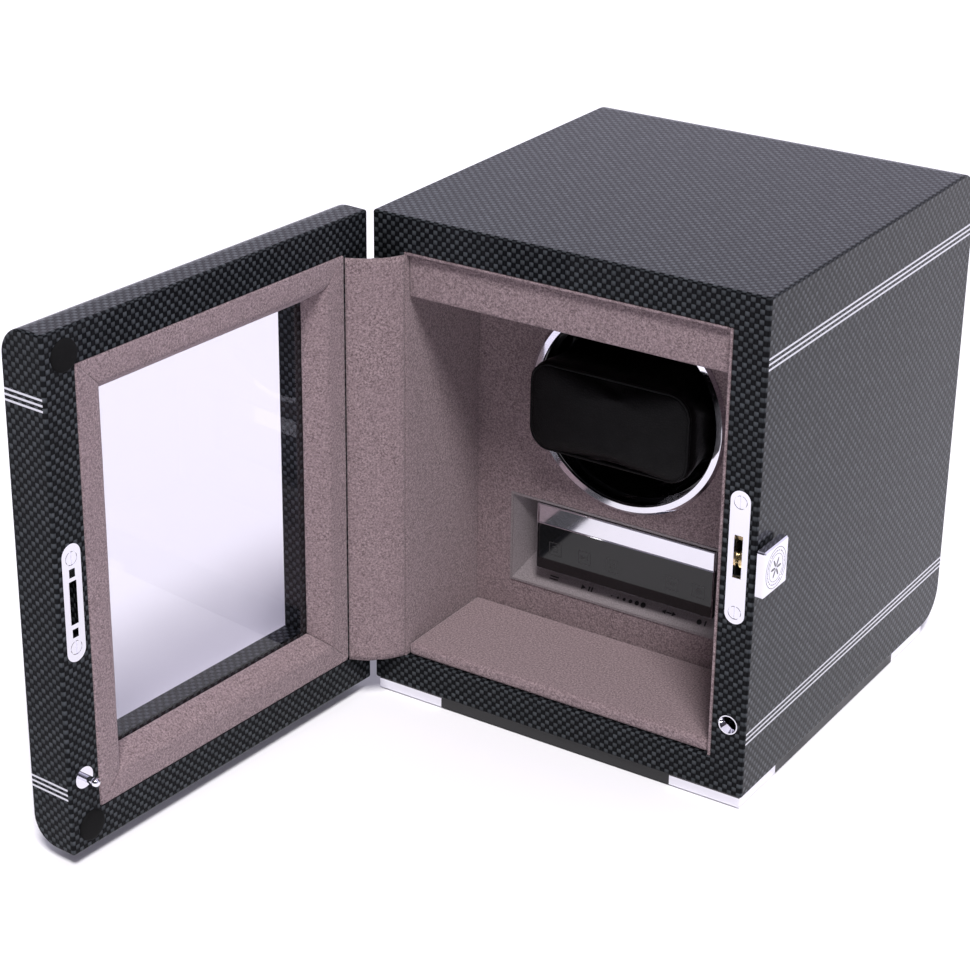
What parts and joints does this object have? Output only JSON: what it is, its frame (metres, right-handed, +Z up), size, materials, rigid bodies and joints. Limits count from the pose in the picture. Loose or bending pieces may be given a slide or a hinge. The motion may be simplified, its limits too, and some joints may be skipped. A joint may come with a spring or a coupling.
{
  "type": "watch winder box",
  "caption": "Lacquered tabletop winder cabinet with a glazed, lockable side-hung door and a motor-driven cup that holds a wristwatch on a pull-out cushion.",
  "frame": {"origin": "bottom centre of the box around the whole object, door standing open, on the surface it stands on", "axes": "+Z up, -Y out of the front opening, +X towards the cabinet's lock side; the open door reaches out along -Y"},
  "size_m": [0.2254, 0.3848, 0.2258],
  "materials": {
    "carbon_lacquer": "clear gloss lacquer over a dark carbon weave on fibreboard",
    "inlay_metal": "bright brushed strip under lacquer",
    "black_base": "satin black",
    "chrome": "polished mirror",
    "suede": "taupe-mauve short suede nap",
    "black_glass": "polished black panel with fine bright edges",
    "clear_glass": "clear polished",
    "gloss_black": "deep gloss black",
    "grey_tray": "satin grey",
    "cushion_leather": "soft black leather",
    "steel": "plain steel",
    "brass": "plain brass",
    "acetal": "natural white gear plastic",
    "circuit_board": "green solder mask",
    "bumper_rubber": "matt black, felt faced",
    "black_plastic": "moulded black"
  },
  "bodies": {
    "cabinet": {"body_shell": "carbon_lacquer", "body_inlays": "inlay_metal", "base_plinth": "black_base", "feet": "chrome", "foot_screws": "steel", "side_liners": "suede", "liner_top": "suede", "top_fascia": "suede", "floor_pad": "suede", "back_panel": "suede", "control_tray": "grey_tray", "display_glass": "black_glass", "display_trim": "chrome", "display_housing": "black_plastic", "display_board": "circuit_board", "bezel_ring": "chrome", "motor_can": "steel", "winder_posts": "steel", "front_bearing_plate": "steel", "rear_bearing_plate": "steel", "plate_spacers": "brass", "plate_screws": "steel", "motor_screws": "steel", "shaft_bushes": "brass", "lock_faceplate": "chrome", "lock_case": "steel", "lock_screws": "chrome", "escutcheon": "chrome", "locating_socket": "chrome", "back_cover": "black_plastic", "back_cover_screws": "steel", "power_inlet": "black_plastic", "control_board": "circuit_board", "hinge_body_leaves": "chrome", "hinge_pins": "steel", "hinge_body_screws": "chrome", "hinge_gusset": "suede"},
    "door": {"door_frame": "carbon_lacquer", "door_glass": "clear_glass", "short_rails": "suede", "long_rails": "suede", "strike_plate": "chrome", "strike_screws": "chrome", "locating_pin": "chrome", "door_bumpers": "bumper_rubber", "door_inlays": "inlay_metal", "hinge_door_leaves": "chrome", "hinge_door_screws": "chrome"},
    "drum": {"drum_cup": "gloss_black", "drum_shaft": "steel", "shaft_clip": "steel", "drum_gear": "acetal"},
    "cushion": {"watch_cushion": "cushion_leather", "cushion_stem": "black_plastic"},
    "motor_rotor": {"motor_shaft": "steel", "motor_pinion": "brass"},
    "lock_plug": {"lock_plug": "brass", "lock_claw": "brass"},
    "key": {"key_bow": "chrome", "key_blade": "chrome"}
  },
  "joints": [
    {"name": "door_hinge", "type": "hinge", "parent": "cabinet", "child": "door", "pos_m": [-0.07713, -0.00839, 0.1158], "axis": [0, 0, -1], "range_deg": [-94, 0], "deforming": ["hinge_gusset"]},
    {"name": "drum_spin", "type": "hinge", "parent": "cabinet", "child": "drum", "pos_m": [0.01547, 0.09241, 0.1378], "axis": [0, 1, 0], "continuous": true},
    {"name": "motor_spin", "type": "hinge", "parent": "cabinet", "child": "motor_rotor", "pos_m": [0.01547, 0.11241, 0.1618], "axis": [0, 1, 0], "continuous": true},
    {"name": "cushion_pull", "type": "slide", "parent": "drum", "child": "cushion", "axis": [0, -1, 0], "range_m": [0, 0.06]},
    {"name": "key_turn", "type": "hinge", "parent": "cabinet", "child": "lock_plug", "pos_m": [0.10347, 0.00041, 0.1108], "axis": [1, 0, 0], "range_deg": [0, 85]},
    {"name": "key_withdraw", "type": "slide", "parent": "lock_plug", "child": "key", "axis": [1, 0, 0], "range_m": [0, 0.022]}
  ],
  "couplings": [
    {"joint": "motor_spin", "follows": "drum_spin", "ratio": -4}
  ]
}
